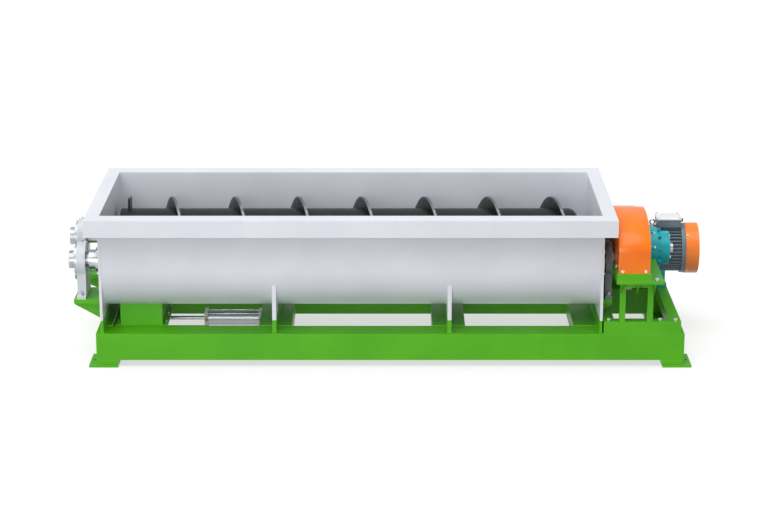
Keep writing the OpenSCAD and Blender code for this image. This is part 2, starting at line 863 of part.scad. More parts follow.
// The guard has a flat top with quarter-round shoulders
module guard_2d(inset) {
    r = guard_h - inset;
    half = guard_w / 2 - guard_h;
    intersection() {
        union() {
            for (side = [-1, 1])
                translate([side * half, guard_z])
                    circle(r = r, $fn = 96);
            translate([-half, guard_z])
                square([2 * half, r]);
        }
        translate([-guard_w, guard_z])
            square([2 * guard_w, guard_w]);
    }
}

module shaft_passages(grow) {
    for (side = [-1, 1])
        rod_x(shaft_r + grow, stand_x0 - 1, guard_x0 + 20, side * axis_y, axis_z);
    rod_x(output_d / 2 + grow, guard_x1 - 20, case_x0, 0, axis_z);
}

module gear_guard() {
    color(orange)
        difference() {
            prism_x(guard_x0, guard_x1)
                guard_2d(0);
            prism_x(guard_x0 + guard_t, guard_x1 - guard_t)
                union() {
                    guard_2d(guard_t);
                    translate([-guard_w / 2 + guard_t, guard_z - 1])
                        square([guard_w - 2 * guard_t, 2]);
                }
            shaft_passages(hole_gap);
        }
}

module guard_base() {
    x = [guard_x0 - guard_step, guard_x1 + guard_step];
    half = guard_w / 2 + guard_step;
    wall = guard_step + guard_base_t;
    color(green)
        difference() {
            block(x, [-half, half], [stand_z, guard_z]);
            block([x[0] + wall, x[1] - wall], [-half + wall, half - wall], [stand_z - 1, guard_z + 1]);
            shaft_passages(hole_gap);
        }
}

// Width of the reducer's window in the stand's top plate
window_near = -case_r - 12;
window_far = motor_y + case_r + 18;
stand_post_y = base_w / 2;

module drive_stand() {
    gear_half = axis_y + gear_module * gear_teeth / 2 + gear_module + 12;
    plate_z0 = stand_z - stand_t;
    post_x0 = stand_x0 + 30;
    post_x1 = stand_x1 - 52 - post_x;
    gusset_x = (post_x0 + post_x1 + post_x) / 2;
    apron = 46;
    color(green)
        difference() {
            union() {
                block([stand_x0, stand_x1], [-stand_half, stand_half], [plate_z0, stand_z]);
                for (side = [0, 1])
                    mirror([0, side, 0]) {
                        for (x = [post_x0, post_x1])
                            block([x, x + post_x], [stand_post_y - post_y, stand_post_y],
                                [rail_z, plate_z0]);
                        block([post_x0, post_x1 + post_x], [stand_post_y - post_y, stand_post_y],
                            [plate_z0 - apron, plate_z0]);
                        block([post_x0, post_x0 + 12], [-1, stand_post_y - post_y],
                            [plate_z0 - apron, plate_z0]);
                        for (x = [post_x0 - 4, gusset_x - 4, post_x1 + post_x - 4])
                            translate([x, 0, 0])
                                rotate([90, 0, 90])
                                    linear_extrude(8)
                                        polygon([[stand_post_y, plate_z0],
                                            [stand_half - 8, plate_z0],
                                            [stand_half - 8, plate_z0 - 14],
                                            [stand_post_y, plate_z0 - stand_gusset]]);
                    }
            }
            block([gear_x0 - 18, gear_x1 + 46], [-gear_half, gear_half], [plate_z0 - 1, stand_z + 1]);
            block([gear_x0, stand_x1 + 1], [window_near, window_far], [plate_z0 - 1, stand_z + 1]);
            for (side = [-1, 1])
                block([stand_x0 - 1, gear_x0],
                    [side * axis_y - shaft_r - hole_gap, side * axis_y + shaft_r + hole_gap],
                    [plate_z0 - 1, stand_z + 1]);
        }
}

module sub_base() {
    half = base_w / 2;
    color(green)
        difference() {
            block([rail_x0, rail_x1], [-half, half], [deck_z, rail_z]);
            block([rail_x0 + rail_w, rail_x1 - rail_w], [-half + rail_w, half - rail_w],
                [deck_z - 1, rail_z + 1]);
        }
}

module drive_bolts() {
    color(steel)
        for (side = [-1, 1]) {
            for (x = [rail_x0 + rail_w / 2, rail_x1 - rail_w - 60, rail_x1 - rail_w / 2])
                hex_bolt(x, side * (base_w / 2 - rail_w / 2), rail_z);
            hex_bolt(stand_x1 - 40, side * (stand_half - 30), stand_z);
        }
}

// Outline of the reducer about its output and input axes
module case_2d(r) {
    run = norm([motor_y, motor_drop]);
    translate([0, axis_z]) {
        circle(r = r);
        translate([motor_y, -motor_drop])
            circle(r = r);
        rotate(-atan2(motor_drop, motor_y))
            translate([0, -r])
                square([run, 2 * r]);
    }
}

module reducer_case() {
    foot_t = 24;
    color(teal)
        difference() {
            union() {
                prism_x(case_x0, case_x1)
                    case_2d(case_r);
                prism_x(case_x1 - 14, case_x1)
                    case_2d(case_r + case_lip);
                block([case_x0 + 4, case_x1 - 14], [window_near - case_foot, 0], [stand_z, stand_z + foot_t]);
                block([case_x0 + 4, case_x1 - 14], [motor_y, window_far + case_foot],
                    [stand_z, stand_z + foot_t]);
            }
            rod_x(output_d / 2 + run_gap, case_x0 - 1, case_x1 + 1, 0, axis_z);
            rod_x(rotor_r + run_gap, case_x0 + 20, case_x1 + 1, motor_y, motor_z);
        }
}

module reducer_cover() {
    color(teal)
        difference() {
            union() {
                prism_x(case_x1, cover_x1)
                    case_2d(case_r);
                prism_x(case_x1, case_x1 + 14)
                    case_2d(case_r + case_lip);
                rod_x(boss_d / 2, cover_x1, boss_x1, 0, axis_z);
            }
            rod_x(output_d / 2 + run_gap, case_x1 - 1, boss_x1 + 1, 0, axis_z);
            rod_x(rotor_r + run_gap, case_x1 - 1, cover_x1 + 1, motor_y, motor_z);
        }
}

// Motor frame with its two end shields and the fins between them
module motor_frame() {
    color(motor_grey)
        difference() {
            union() {
                rod_x(motor_r, cover_x1, motor_x0, motor_y, motor_z);
                prism_x(motor_x0, motor_x1 - shield_t)
                    translate([motor_y, motor_z])
                        intersection() {
                            circle(r = motor_r);
                            union() {
                                circle(r = motor_r - fin_h);
                                for (k = [0:fin_count - 1])
                                    rotate(360 * (k + 0.5) / fin_count)
                                        translate([0, -fin_t / 2])
                                            square([motor_r + 5, fin_t]);
                            }
                        }
                rod_x(fan_cover_d / 2 - fan_sheet, motor_x1 - shield_t, motor_x1, motor_y, motor_z);
                rod_x(fan_cover_d / 2 - fan_sheet, motor_x1, fan_cover_x0 + 6, motor_y, motor_z);
                block([motor_x0 + 18, motor_x1 - 40], [motor_y - 50, motor_y + 50],
                    [motor_z, box_z]);
            }
            rod_x(rotor_r + run_gap, cover_x1 - 1, fan_cover_x0 + 7, motor_y, motor_z);
        }
}

box_z = motor_z + motor_r + 2;

// A cradle under the motor, standing on the sub-base's end rail
module motor_pedestal() {
    foot_half = cradle_w / 2 + cradle_foot;
    color(teal)
        difference() {
            union() {
                block([rail_x1 - rail_w, rail_x1], [motor_y - foot_half, motor_y + foot_half],
                    [rail_z, rail_z + 16]);
                block([rail_x1 - rail_w + 8, rail_x1 - 8], [motor_y - cradle_w / 2, motor_y + cradle_w / 2],
                    [rail_z, motor_z - motor_r / 2]);
            }
            rod_x(motor_r, motor_x0 - 40, motor_x1, motor_y, motor_z);
        }
}

module rotor_shaft() {
    color(steel)
        rod_x(rotor_r, case_x0 + 24, fan_cover_x1 - 22, motor_y, motor_z);
}

fan_x0 = fan_cover_x0 + 14;
fan_x1 = fan_cover_x1 - 26;
module motor_fan() {
    fan_r = fan_cover_d / 2 - 18;
    color(dark)
        translate([0, motor_y, motor_z])
            difference() {
                union() {
                    rod_x(rotor_r + 14, fan_x0, fan_x1);
                    rod_x(fan_r - 30, fan_x0, fan_x0 + 5);
                    for (turn = [0:45:315])
                        rotate([turn, 0, 0])
                            block([fan_x0, fan_x1], [-2.5, 2.5], [rotor_r + 6, fan_r]);
                }
                rod_x(rotor_r, fan_x0 - 1, fan_x1 + 1);
            }
}

// The cover is a cup with radial air slots in its end
module fan_cover() {
    r = fan_cover_d / 2;
    color(orange)
        translate([0, motor_y, motor_z])
            difference() {
                rod_x(r, fan_cover_x0, fan_cover_x1);
                rod_x(r - fan_sheet, fan_cover_x0 - 1, fan_cover_x1 - fan_sheet);
                for (turn = [0:15:345])
                    rotate([turn, 0, 0])
                        block([fan_cover_x1 - fan_sheet - 1, fan_cover_x1 + 1], [-5, 5],
                            [r * 0.42, r * 0.84]);
            }
}

lid_t = 12;
box_half = 76;
box_x0 = motor_x0 + 20;
box_x1 = motor_x1 - shield_t - 6;
module terminal_box() {
    color(grey)
        union() {
            block([box_x0, box_x1], [motor_y - box_half + 5, motor_y + box_half - 5], [box_z, box_z + box_h]);
            block([box_x0 - 4, box_x1 + 4], [motor_y - box_half, motor_y + box_half],
                [box_z + box_h, box_z + box_h + lid_t]);
        }
}

module cable_gland() {
    z = box_z + box_h / 2;
    color(dark)
        union() {
            rod_x(15, box_x1, box_x1 + 10, motor_y, z, 6);
            rod_x(11, box_x1, box_x1 + 24, motor_y, z);
        }
}

module lifting_eye() {
    x = motor_x0 - shield_t / 2;
    ring_r = 15;
    wire_r = 5;
    top_z = motor_z + motor_r;
    color(steel)
        union() {
            translate([x, motor_y, top_z])
                cylinder(r = 7, h = 9);
            translate([x, motor_y, top_z + 8 + ring_r])
                rotate([90, 0, 0])
                    rotate_extrude()
                        translate([ring_r, 0])
                            circle(r = wire_r, $fn = 32);
        }
}

front_beam();
rear_beam();
cross_beam_1();
cross_beam_2();
cross_beam_3();
end_cross_beams();
foot_front_left();
foot_front_right();
foot_rear_left();
foot_rear_right();
trough_risers();
saddle_1_plate();
saddle_2_plate();
trough_shell();
end_plate_left();
end_plate_right();
rim_frame();
discharge_chute();
gate_guides();
discharge_gate();
gate_rod();
gate_cylinder();
near_shaft();
near_tube();
near_flight();
near_paddles();
far_shaft();
far_tube();
far_flight();
far_paddles();
near_glands();
far_glands();
gland_nuts();
near_housing_left();
far_housing_left();
near_housing_right();
far_housing_right();
bearing_rings();
bearing_caps();
bearing_brackets();
bearing_bolts();
near_gear();
far_gear();
drive_pinion();
output_shaft();
gear_guard();
guard_base();
drive_stand();
sub_base();
drive_bolts();
reducer_case();
reducer_cover();
motor_frame();
motor_pedestal();
rotor_shaft();
motor_fan();
fan_cover();
terminal_box();
cable_gland();
lifting_eye();
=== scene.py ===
import math

import bpy
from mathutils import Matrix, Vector


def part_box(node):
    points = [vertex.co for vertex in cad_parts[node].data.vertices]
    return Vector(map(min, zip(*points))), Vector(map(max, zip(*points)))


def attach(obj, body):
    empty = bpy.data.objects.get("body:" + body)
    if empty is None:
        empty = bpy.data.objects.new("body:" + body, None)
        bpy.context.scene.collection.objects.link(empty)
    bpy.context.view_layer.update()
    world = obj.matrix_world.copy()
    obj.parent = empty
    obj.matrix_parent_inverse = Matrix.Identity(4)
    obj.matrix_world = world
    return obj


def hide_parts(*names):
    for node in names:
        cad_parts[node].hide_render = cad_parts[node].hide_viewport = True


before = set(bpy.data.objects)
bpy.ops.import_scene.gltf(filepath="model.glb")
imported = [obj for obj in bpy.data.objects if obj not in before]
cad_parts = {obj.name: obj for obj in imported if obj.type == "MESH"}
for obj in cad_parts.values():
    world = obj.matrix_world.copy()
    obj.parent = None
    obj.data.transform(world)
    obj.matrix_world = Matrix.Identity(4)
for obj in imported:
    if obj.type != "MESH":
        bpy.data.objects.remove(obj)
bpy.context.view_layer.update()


# Camera: a product photographer's long lens, square to the front of the
# machine, a little above it and tipped down by about sixteen degrees.
camera_data = bpy.data.cameras.new("studio_camera")
camera_data.sensor_width = 36.0
camera_data.lens = 103.1
camera = bpy.data.objects.new("studio_camera", camera_data)
bpy.context.scene.collection.objects.link(camera)
camera.location = (-0.038, -13.168, 4.386)
camera.rotation_euler = (math.radians(73.73), 0.0, 0.0)
bpy.context.scene.camera = camera


# Studio: a light table's floor, matt white acrylic that glows from below, under
# a soft white sky, a broad overhead diffuser and three softboxes for the enamel.
def linear(colour):
    """The linear colour of an sRGB hex value such as '5AB124', with alpha 1."""
    parts = [int(colour[k:k + 2], 16) / 255 for k in (0, 2, 4)]
    return tuple(c / 12.92 if c <= 0.04045 else ((c + 0.055) / 1.055) ** 2.4 for c in parts) + (1.0,)


def feed(tree, node, inputs):
    """Gives each named input of a node a value or a link."""
    for name, value in inputs.items():
        if isinstance(value, bpy.types.NodeSocket):
            tree.links.new(value, node.inputs[name])
        else:
            node.inputs[name].default_value = value


def add_node(tree, kind, inputs=(), **settings):
    """A node of that kind, with its properties set and its inputs fed."""
    made = tree.nodes.new(kind)
    for name, value in settings.items():
        setattr(made, name, value)
    feed(tree, made, dict(inputs))
    return made


def spread(tree, value, low, high, to_low, to_high):
    """A value's range from low to high, stretched over another range."""
    made = add_node(tree, "ShaderNodeMapRange", {"Value": value, "From Min": low, "From Max": high,
                                                 "To Min": to_low, "To Max": to_high})
    return made.outputs["Result"]


def new_material(name):
    """A node material, its tree and its shader, with the shader linked to the output."""
    made = bpy.data.materials.new(name)
    made.use_nodes = True
    return made, made.node_tree, made.node_tree.nodes["Principled BSDF"]


def softbox(name, place, aim, size, power):
    """A square area light at a place, turned to face a point."""
    data = bpy.data.lights.new(name, "AREA")
    data.size = size
    data.energy = power
    made = bpy.data.objects.new(name, data)
    bpy.context.scene.collection.objects.link(made)
    made.location = place
    made.rotation_euler = (Vector(aim) - Vector(place)).to_track_quat("-Z", "Y").to_euler()


bpy.context.scene.view_settings.view_transform = "Standard"
floor_paint, floor_tree, floor_shader = new_material("lit_white_acrylic_floor")
feed(floor_tree, floor_shader, {"Base Color": linear("A8A8A8"), "Emission Color": (1, 1, 1, 1),
                                "Emission Strength": 0.62, "Roughness": 0.95, "Specular IOR Level": 0.1})
bpy.ops.object.select_all(action="DESELECT")
bpy.ops.mesh.primitive_plane_add(size=160, location=(0, 0, 0))
floor = bpy.context.object
floor.name = "studio_floor"
floor.data.materials.append(floor_paint)
# the floor's glow stays off the machine, so that its undersides are in shade
floor.visible_diffuse = False

world = bpy.data.worlds.new("studio_world")
bpy.context.scene.world = world
world.use_nodes = True
# the sky is bright above and dim below the horizon, so that undersides fall into shade
sky_tree = world.node_tree
sky_place = add_node(sky_tree, "ShaderNodeTexCoord")
sky_split = add_node(sky_tree, "ShaderNodeSeparateXYZ", {"Vector": sky_place.outputs["Generated"]})
sky_level = spread(sky_tree, sky_split.outputs["Z"], -0.2, 0.1, 0.22, 0.62)
feed(sky_tree, sky_tree.nodes["Background"], {"Color": (1, 1, 1, 1), "Strength": sky_level})
sun_data = bpy.data.lights.new("overhead_diffuser", "SUN")
sun_data.energy = 1.75
sun_data.angle = math.radians(60)
sun = bpy.data.objects.new("overhead_diffuser", sun_data)
bpy.context.scene.collection.objects.link(sun)
sun.rotation_euler = Vector((1.6, 1.9, -6.0)).to_track_quat("-Z", "Y").to_euler()
softbox("front_softbox", (-1.5, -8.0, 1.3), (0, 0, 0.5), 4.0, 250)
softbox("top_softbox", (0.0, 1.0, 6.5), (0, 0, 0.5), 5.0, 15)
softbox("rear_softbox", (-7.0, 6.5, 2.6), (0, 0, 0.5), 4.0, 110)


# Base frame: box sections and folded channels of mild steel, sawn, welded and
# sprayed with one coat of bright green machine enamel. Enamel is glossy, with
# a fine orange peel; sharp edges, where the paint is thin, get a painted highlight line.
def noise(tree, place, scale, detail, roughness=0.5):
    """A noise texture's factor."""
    made = add_node(tree, "ShaderNodeTexNoise", {"Vector": place, "Scale": scale, "Detail": detail,
                                                 "Roughness": roughness})
    return made.outputs["Fac"]


def two_tones(tree, factor, deep, light, low=0.0, high=1.0):
    """A colour that goes from a deep tone to a light one, between two values of a factor."""
    made = add_node(tree, "ShaderNodeValToRGB", {"Fac": factor})
    for stop, position, colour in zip(made.color_ramp.elements, (low, high), (deep, light)):
        stop.position = position
        stop.color = linear(colour)
    return made.outputs["Color"]


def bumps(tree, height, strength, distance, over=None):
    """The normal of a bump, laid over another bump's normal if one is given."""
    made = add_node(tree, "ShaderNodeBump", {"Height": height, "Strength": strength, "Distance": distance})
    if over is not None:
        feed(tree, made, {"Normal": over})
    return made.outputs["Normal"]


def enamel(name, light, deep, edge, rough=0.36, coat=0.1, patch=0.3, peel=0.004, lift=0.3):
    """Sprayed enamel: two close tones in soft patches, edges painted lighter as a highlight, dust in the
    gloss, orange peel.
    """
    made, tree, shader = new_material(name)
    place = add_node(tree, "ShaderNodeTexCoord").outputs["Object"]
    cloud = noise(tree, place, 1 / patch, 4.0, 0.6)
    tone = two_tones(tree, cloud, deep, light, 0.36, 0.62)
    # outer edges within about 4 mm are painted lighter: a painted highlight line, with the paint drawn back
    # thin there too
    rim_light = add_node(tree, "ShaderNodeAmbientOcclusion", {"Distance": 0.0045}, samples=6, inside=True,
                         only_local=True)
    painted_edge_highlight = spread(tree, rim_light.outputs["AO"], 0.95, 0.5, 0.0, lift)
    skin = add_node(tree, "ShaderNodeMix", {0: painted_edge_highlight, 6: tone, 7: linear(edge)}, data_type="RGBA")
    dust = noise(tree, place, 28.0, 5.0, 0.7)
    gloss = spread(tree, dust, 0.3, 0.7, rough - 0.06, rough + 0.1)
    pimples = bumps(tree, noise(tree, place, 1 / peel, 1.0), 0.06, 0.0008)
    sheet = bumps(tree, cloud, 0.12, 0.006, over=pimples)
    feed(tree, shader, {"Base Color": skin.outputs[2], "Roughness": gloss, "Normal": sheet,
                        "Specular IOR Level": 0.3, "Coat Weight": coat, "Coat Roughness": 0.15})
    return made


def dress(material, *nodes):
    """Gives CAD nodes a material."""
    for name in nodes:
        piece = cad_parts[name]
        piece.data.materials.clear()
        piece.data.materials.append(material)


def only(piece):
    """Selects one piece and nothing else."""
    bpy.ops.object.select_all(action="DESELECT")
    piece.select_set(True)
    bpy.context.view_layer.objects.active = piece


def joined(pieces):
    """Several pieces made into one, with its place in its mesh."""
    bpy.ops.object.select_all(action="DESELECT")
    for piece in pieces:
        piece.select_set(True)
    bpy.context.view_layer.objects.active = pieces[0]
    if len(pieces) > 1:
        bpy.ops.object.join()
    made = bpy.context.object
    bpy.ops.object.transform_apply(location=True, rotation=True, scale=True)
    return made


def keep(made, name, material, body):
    """Names a finished piece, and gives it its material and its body."""
    made.name = name
    made.data.name = name
    made.data.materials.clear()
    made.data.materials.append(material)
    only(made)
    bpy.ops.object.shade_smooth_by_angle(angle=math.radians(35))
    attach(made, body)
    return made


def cylinder(sides, radius, length, middle, turned=(0, 0, 0)):
    """A cylinder with that many sides, left selected."""
    bpy.ops.object.select_all(action="DESELECT")
    bpy.ops.mesh.primitive_cylinder_add(vertices=sides, radius=radius, depth=length, location=middle,
                                        rotation=turned)
    return bpy.context.object


def rounded(piece, width, segments, angle=40):
    """Rounds a piece's edges that are sharper than the angle."""
    edge = piece.modifiers.new("edge", "BEVEL")
    edge.width = width
    edge.segments = segments
    edge.limit_method = "ANGLE"
    edge.angle_limit = math.radians(angle)
    only(piece)
    bpy.ops.object.modifier_apply(modifier=edge.name)


def bead(start, end, leg):
    """A weld bead from one point to another: a low round run of metal with domed ends."""
    start, end = Vector(start), Vector(end)
    run = end - start
    made = cylinder(8, leg, run.length, (start + end) / 2, run.to_track_quat("Z", "Y").to_euler())
    rounded(made, leg * 0.55, 2, angle=60)
    return made


green = enamel("green_machine_enamel", "52B004", "4BA802", "86D040")
dress(green, "front_beam", "rear_beam", "cross_beam_1", "cross_beam_2", "cross_beam_3", "end_cross_beams",
      "foot_front_left", "foot_front_right", "foot_rear_left", "foot_rear_right", "trough_risers")

# the deck's height, the beams' inner faces, the end cross beams' width and the fillets' legs
deck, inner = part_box("front_beam")[1][2], -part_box("front_beam")[1][1]
end_width, beam_leg, riser_leg = 0.08, 0.0035, 0.004
welds = []
for name in ("cross_beam_1", "cross_beam_2", "cross_beam_3"):
    low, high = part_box(name)
    for y in (-inner, inner):
        welds.append(bead((low[0], y, deck), (high[0], y, deck), beam_leg))
        for x in (low[0], high[0]):
            welds.append(bead((x, y, low[2]), (x, y, deck), beam_leg))
for side in (-1, 1):
    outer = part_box("front_beam")[1][0] * side
    for y in (-inner, inner):
        welds.append(bead((outer - side * end_width, y, deck), (outer, y, deck), beam_leg))
# the riser plates under the saddles and the end plates are welded down on both faces
saddle_places = [sum(p[0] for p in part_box(name)) / 2 for name in ("saddle_1_plate", "saddle_2_plate")]
saddle_half = (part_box("saddle_1_plate")[1][0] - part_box("saddle_1_plate")[0][0]) / 2
left_plate, right_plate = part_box("end_plate_left"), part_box("end_plate_right")
riser_faces = [x + side * saddle_half for x in saddle_places for side in (-1, 1)]
riser_faces += [left_plate[0][0], left_plate[1][0], right_plate[0][0], right_plate[1][0]]
riser_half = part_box("trough_risers")[1][1]
for x in riser_faces:
    welds.append(bead((x, -riser_half, deck), (x, riser_half, deck), riser_leg))
keep(joined(welds), "frame_weld_beads", green, "machine")


# Trough: steel sheet rolled to two round troughs, welded to thick end plates
# and a folded box rim, and sprayed inside and out in pale cool grey enamel.
# Broad sheet is never quite flat, so the gloss on it wanders a little.
grey = enamel("pale_grey_enamel", "E0E3EA", "DADDE5", "F4F6FA", rough=0.34, patch=0.45, lift=0.4)
dress(grey, "trough_shell", "end_plate_left", "end_plate_right", "rim_frame", "saddle_1_plate",
      "saddle_2_plate")

# the rounds' centres and outer radius, the ridge between them, and the straight walls' two faces
axis_y, axis_z, shell_r = 0.2655, 0.599, 0.2715
ridge_z, ridge_half = 0.464, 0.030
wall_foot, wall_out, wall_in = 0.60, 0.537, 0.531
# the tops of the saddles and of the rounds, and the undersides of the rim's skirt and plate
saddle_top, round_top, skirt_under, plate_under = 0.51, 0.598, 0.842, 0.938
seam_leg, wall_leg = 0.0045, 0.004


def shell_bead(x, top):
    """A weld bead along the underside of the trough, at a plate: two arcs and the ridge between them."""
    made = []
    for side in (-1, 1):
        bpy.ops.object.select_all(action="DESELECT")
        bpy.ops.mesh.primitive_torus_add(location=(x, side * axis_y, axis_z), rotation=(0, math.pi / 2, 0),
                                         major_radius=shell_r, minor_radius=seam_leg, major_segments=96,
                                         minor_segments=8)
        arc = bpy.context.object
        bpy.ops.object.transform_apply(location=True, rotation=True, scale=True)
        bpy.ops.object.mode_set(mode="EDIT")
        bpy.ops.mesh.select_all(action="SELECT")
        bpy.ops.mesh.bisect(plane_co=(0, 0, top), plane_no=(0, 0, 1), use_fill=True, clear_outer=True)
        bpy.ops.mesh.select_all(action="SELECT")
        bpy.ops.mesh.bisect(plane_co=(0, side * ridge_half, 0), plane_no=(0, -side, 0), use_fill=True,
                            clear_outer=True)
        bpy.ops.object.mode_set(mode="OBJECT")
        made.append(arc)
    made.append(bead((x, -ridge_half, ridge_z), (x, ridge_half, ridge_z), seam_leg))
    return made


seams, corners = [], []
for x in saddle_places:
    seams += shell_bead(x - saddle_half, saddle_top) + shell_bead(x + saddle_half, saddle_top)
plate_faces = (left_plate[1][0], right_plate[0][0])
for x in plate_faces:
    seams += shell_bead(x, round_top)
# the end plates are welded outside and inside, up both walls of the trough
for x in plate_faces:
    for side in (-1, 1):
        seams.append(bead((x, side * wall_out, wall_foot), (x, side * wall_out, skirt_under), wall_leg))
        corners.append(bead((x, side * wall_in, wall_foot), (x, side * wall_in, plate_under), wall_leg))
keep(joined(seams), "trough_weld_beads", grey, "machine")
keep(joined(corners), "trough_corner_welds", grey, "machine")


# Screws: rolled tube with a welded helical flight, painted near-black. The
# mix polishes the outer band of each flight to bare, brushed steel.
def screw_paint(name):
    """Satin black enamel that is worn through to steel towards the flight's outer edge."""
    made, tree, shader = new_material(name)
    place = add_node(tree, "ShaderNodeTexCoord").outputs["Object"]
    split = add_node(tree, "ShaderNodeSeparateXYZ", {"Vector": place})
    across = add_node(tree, "ShaderNodeMath", {0: split.outputs["Y"]}, operation="ABSOLUTE")
    y = add_node(tree, "ShaderNodeMath", {0: across.outputs[0], 1: axis_y}, operation="SUBTRACT")
    z = add_node(tree, "ShaderNodeMath", {0: split.outputs["Z"], 1: axis_z}, operation="SUBTRACT")
    flat = add_node(tree, "ShaderNodeCombineXYZ", {"X": y.outputs[0], "Y": z.outputs[0]})
    radius = add_node(tree, "ShaderNodeVectorMath", {0: flat.outputs[0]}, operation="LENGTH")
    scuff = noise(tree, place, 22.0, 6.0, 0.7)
    ragged = add_node(tree, "ShaderNodeMath", {0: scuff, 1: 0.03, 2: radius.outputs["Value"]},
                      operation="MULTIPLY_ADD")
    # the worn band is about 10 mm wide on a 250 mm radius
    worn = spread(tree, ragged.outputs[0], 0.253, 0.264, 0.0, 1.0)
    tone = two_tones(tree, scuff, "0F1011", "1C1D20", 0.3, 0.75)
    colour = add_node(tree, "ShaderNodeMix", {0: worn, 6: tone, 7: linear("7C7E83")}, data_type="RGBA")
    metal = add_node(tree, "ShaderNodeMath", {0: worn, 1: 0.85}, operation="MULTIPLY")
    gloss = spread(tree, scuff, 0.3, 0.7, 0.3, 0.48)
    # material rubs along the helix, so the scratches run round the shaft, 3 mm apart
    stretch = add_node(tree, "ShaderNodeMapping", {"Vector": place, "Scale": (330, 12, 12)})
    scratches = bumps(tree, noise(tree, stretch.outputs[0], 1.0, 3.0), 0.2, 0.001)
    feed(tree, shader, {"Base Color": colour.outputs[2], "Metallic": metal.outputs[0], "Roughness": gloss,
                        "Specular IOR Level": 0.35, "Normal": scratches})
    return made


screw_black = screw_paint("satin_black_enamel_worn_steel")
dress(screw_black, "near_tube", "near_flight", "near_paddles", "far_tube", "far_flight", "far_paddles")

# the tube's radius, half the flight's thickness, the helix's lead, and where it passes over the top
tube_r, flight_half = 0.175, 0.008
pitch, helix_x = 0.4, -1.364
flight_low, flight_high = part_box("far_flight")


def flight_welds(side, body, name):
    """The fillet weld on both roots of a flight: a thin run that follows the helix round the tube."""
    weld_r, weld_sides, turn_steps, end_gap = 0.005, 6, 36, 0.004
    start = flight_low[0] + flight_half + end_gap
    end = flight_high[0] - flight_half - end_gap
    turns = (end - start) / pitch
    steps = int(turns * turn_steps)
    phase = math.radians(90) + 2 * math.pi * (start - helix_x) / pitch
    runs = []
    for face in (-1, 1):
        bpy.ops.object.select_all(action="DESELECT")
        bpy.ops.mesh.primitive_circle_add(vertices=weld_sides, radius=weld_r, fill_type="NGON",
                                          location=(0, 0, 0), rotation=(math.pi / 2, 0, 0))
        section = bpy.context.object
        bpy.ops.object.transform_apply(location=False, rotation=True, scale=False)
        section.location = (start + face * flight_half, axis_y + tube_r * math.cos(phase),
                            axis_z + tube_r * math.sin(phase))
        section.rotation_euler = (phase, 0, 0)
        bpy.ops.object.transform_apply(location=True, rotation=True, scale=True)
        bpy.ops.object.mode_set(mode="EDIT")
        bpy.ops.mesh.select_all(action="SELECT")
        bpy.ops.mesh.spin(steps=steps, angle=2 * math.pi * turns, center=(0, axis_y, axis_z), axis=(1, 0, 0))
        bpy.ops.object.mode_set(mode="OBJECT")
        # spin gives rings round the shaft; each ring is then drawn along it by the lead
        for k, vertex in enumerate(section.data.vertices):
            vertex.co.x += (end - start) * (k // weld_sides) / steps
        runs.append(section)
    made = joined(runs)
    # the near screw is the far one's mirror image
    if side < 0:
        for vertex in made.data.vertices:
            vertex.co.y = -vertex.co.y
    bpy.ops.object.mode_set(mode="EDIT")
    bpy.ops.mesh.select_all(action="SELECT")
    bpy.ops.mesh.normals_make_consistent(inside=False)
    bpy.ops.object.mode_set(mode="OBJECT")
    keep(made, name, screw_black, body)


flight_welds(1, "far_screw", "far_flight_welds")
flight_welds(-1, "near_screw", "near_flight_welds")


# Shafts, glands and bearing rings: turned and ground steel bar, oiled. Turning
# leaves fine rings round the bar, drawn 2 mm apart here so that they show.
def turned_steel(name, light, deep, rough, ring=0.002):
    """Machined steel: fine rings along X, a thin uneven film of oil in colour and gloss."""
    made, tree, shader = new_material(name)
    place = add_node(tree, "ShaderNodeTexCoord").outputs["Object"]
    film = noise(tree, place, 14.0, 4.0, 0.6)
    lathe = add_node(tree, "ShaderNodeMapping", {"Vector": place, "Scale": (1 / ring, 6, 6)})
    rings = bumps(tree, noise(tree, lathe.outputs[0], 1.0, 2.0), 0.15, 0.0006)
    feed(tree, shader, {"Base Color": two_tones(tree, film, deep, light, 0.35, 0.65), "Metallic": 1.0,
                        "Roughness": spread(tree, film, 0.3, 0.7, rough - 0.05, rough + 0.1),
                        "Normal": rings})
    return made


ground_steel = turned_steel("turned_and_ground_steel", "C6C8CC", "ABAEB3", 0.27)
dress(ground_steel, "near_shaft", "far_shaft", "near_glands", "far_glands", "bearing_rings", "output_shaft",
      "rotor_shaft", "gate_rod")


# Bearing housings: grey iron castings, fettled and painted light grey. Sand
# casting leaves a grain of about 2 mm, drawn at 5 mm here, under the paint.
def cast_enamel(name, light, deep, edge, rough, coat=0.2, grain=0.005, depth=0.25):
    """Enamel over a sand casting: the enamel's colour and gloss, with the casting's grain as bump."""
    made = enamel(name, light, deep, edge, rough=rough, coat=coat, patch=0.08, lift=0.45)
    tree = made.node_tree
    place = add_node(tree, "ShaderNodeTexCoord").outputs["Object"]
    sand = noise(tree, place, 1 / grain, 3.0, 0.65)
    feed(tree, tree.nodes["Principled BSDF"], {"Normal": bumps(tree, sand, depth, 0.001)})
    return made


housing_grey = cast_enamel("light_grey_enamel_on_cast_iron", "D2D6DB", "C4C8CE", "F2F4F7", 0.36)
dress(housing_grey, "near_housing_left", "far_housing_left")
# the drive-end castings get a darker copy of the grey: painted shade for the shadow that they stand in
shaded_housing_grey = cast_enamel("cast_iron_grey_darkened_as_painted_shade", "7B7F84", "666A70", "B4B8BC", 0.36)
dress(shaded_housing_grey, "near_housing_right", "far_housing_right")
cap_steel = turned_steel("pressed_steel_cap_satin", "B9BCC1", "9EA1A7", 0.36, ring=0.003)
dress(cap_steel, "bearing_caps")


